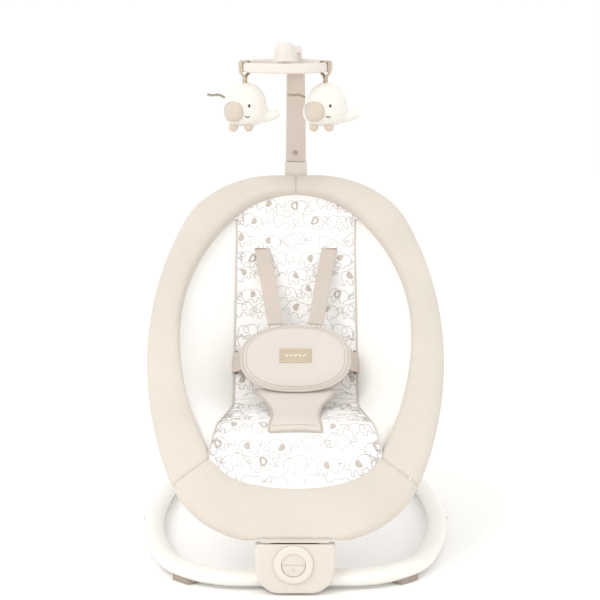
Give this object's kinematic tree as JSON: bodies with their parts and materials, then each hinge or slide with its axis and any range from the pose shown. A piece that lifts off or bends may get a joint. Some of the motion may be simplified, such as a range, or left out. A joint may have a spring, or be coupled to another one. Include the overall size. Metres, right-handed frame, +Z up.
{
  "type": "baby swing",
  "caption": "Electric infant swing: reclined oval padded seat on a low tubular floor loop, swaying on a front control hub, with a harness and a mast that carries a hanging toy mobile.",
  "frame": {"origin": "on the floor, at the middle of the base's length and width", "axes": "+X the sitter's left, +Y towards the rear, +Z up; the sitter faces -Y"},
  "size_m": [0.493, 0.61, 0.778],
  "materials": {
    "frame_paint": "satin warm white powder coat",
    "steel": "plain zinc-plated steel",
    "rubber": "dark grey-brown soft rubber",
    "hub_plastic": "fine matt beige moulding",
    "trim_plastic": "satin light beige moulding",
    "dial_plastic": "soft gloss warm white",
    "button_plastic": "satin beige",
    "board": "green solder mask",
    "copper": "enamelled copper winding",
    "magnet": "nickel-plated magnet",
    "black_plastic": "black moulding",
    "rim_fabric": "beige spacer fabric with a fine weave",
    "mesh_fabric": "cream open mesh",
    "print_fabric": "white cotton with a pale line print",
    "webbing": "tan woven webbing",
    "pad_fabric": "beige padded fabric with piping",
    "label_fabric": "woven label",
    "buckle_plastic": "beige acetal",
    "buckle_button": "taupe acetal",
    "mast_plastic": "satin taupe moulding",
    "mast_button": "dark taupe",
    "ring_plastic": "warm white moulding",
    "plush": "cream short-pile plush"
  },
  "bodies": {
    "base": {"base_tube_left": "frame_paint", "base_tube_right": "frame_paint", "base_tube_rear": "frame_paint", "base_sleeves": "steel", "base_snap_pins": "steel", "rubber_feet": "rubber", "hub_lower_shell": "hub_plastic", "hub_upper_shell": "hub_plastic", "hub_front_panel": "hub_plastic", "hub_screws": "steel", "spindle_bearings": "steel", "coil_bracket": "steel", "drive_coil": "copper", "control_board": "board", "speaker": "black_plastic", "power_inlet": "black_plastic"},
    "seat": {"back_panel": "print_fabric", "bracket_screws": "steel", "cradle": "trim_plastic", "cradle_screws": "steel", "crotch_pad": "pad_fabric", "drive_magnet": "magnet", "frame_rivets": "steel", "frame_sleeves": "steel", "harness_buckle": "buckle_plastic", "magnet_lever": "steel", "mast_socket": "trim_plastic", "pivot_spindle": "steel", "rear_bracket": "trim_plastic", "rim_pad_front": "rim_fabric", "rim_pad_left": "rim_fabric", "rim_pad_right": "rim_fabric", "seat_frame_front": "frame_paint", "seat_frame_rear": "frame_paint", "seat_panel": "print_fabric", "shoulder_strap_left": "webbing", "shoulder_strap_right": "webbing", "side_wing_left": "mesh_fabric", "side_wing_right": "mesh_fabric", "spindle_clip": "steel", "swing_arm": "frame_paint", "waist_label": "label_fabric", "waist_pad": "pad_fabric", "waist_strap_left": "webbing", "waist_strap_right": "webbing"},
    "dial": {"speed_dial": "dial_plastic"},
    "upper_button": {"upper_button": "button_plastic"},
    "lower_button": {"lower_button": "button_plastic"},
    "harness_button": {"harness_button": "buckle_button"},
    "mast": {"mast": "mast_plastic", "mobile_head": "mast_plastic"},
    "mast_button": {"mast_button": "mast_button"},
    "ring": {"mobile_ring": "ring_plastic", "ring_pin": "steel"},
    "toy_left": {"toy_left": "plush", "toy_loop_left": "webbing"},
    "toy_right": {"toy_right": "plush", "toy_loop_right": "webbing"}
  },
  "joints": [
    {"name": "seat_sway", "type": "hinge", "parent": "base", "child": "seat", "pos_m": [0, -0.25, 0.06466], "axis": [0, 0.2756, 0.9613], "range_deg": [-12, 12]},
    {"name": "dial_turn", "type": "hinge", "parent": "base", "child": "dial", "pos_m": [-0.0025, -0.302, 0.0485], "axis": [0, -1, 0], "range_deg": [0, 270]},
    {"name": "upper_button_press", "type": "slide", "parent": "base", "child": "upper_button", "axis": [0, 1, 0], "range_m": [0, 0.0015], "stiffness_N_per_m": 600, "springref_m": -0.001},
    {"name": "lower_button_press", "type": "slide", "parent": "base", "child": "lower_button", "axis": [0, 1, 0], "range_m": [0, 0.0015], "stiffness_N_per_m": 600, "springref_m": -0.001},
    {"name": "harness_button_press", "type": "slide", "parent": "seat", "child": "harness_button", "axis": [0, 0.788, -0.6157], "range_m": [0, 0.002], "stiffness_N_per_m": 600, "springref_m": -0.001},
    {"name": "mast_swivel", "type": "hinge", "parent": "seat", "child": "mast", "pos_m": [0, 0.272, 0.571], "axis": [0, 0, 1], "range_deg": [-36, 54]},
    {"name": "mast_button_press", "type": "slide", "parent": "mast", "child": "mast_button", "axis": [0.1564, 0.9877, 0], "range_m": [0, 0.003], "stiffness_N_per_m": 500, "springref_m": -0.001},
    {"name": "mobile_ring_turn", "type": "hinge", "parent": "mast", "child": "ring", "pos_m": [-0.017, 0.165, 0.74], "axis": [0, 0, 1], "range_deg": [-45, 45]},
    {"name": "toy_left_swing", "type": "hinge", "parent": "ring", "child": "toy_left", "pos_m": [-0.08216, 0.13322, 0.74], "axis": [-0.4384, 0.8988, 0], "range_deg": [-20, 20]},
    {"name": "toy_right_swing", "type": "hinge", "parent": "ring", "child": "toy_right", "pos_m": [0.04816, 0.13322, 0.74], "axis": [0.4384, 0.8988, 0], "range_deg": [-20, 20]}
  ]
}
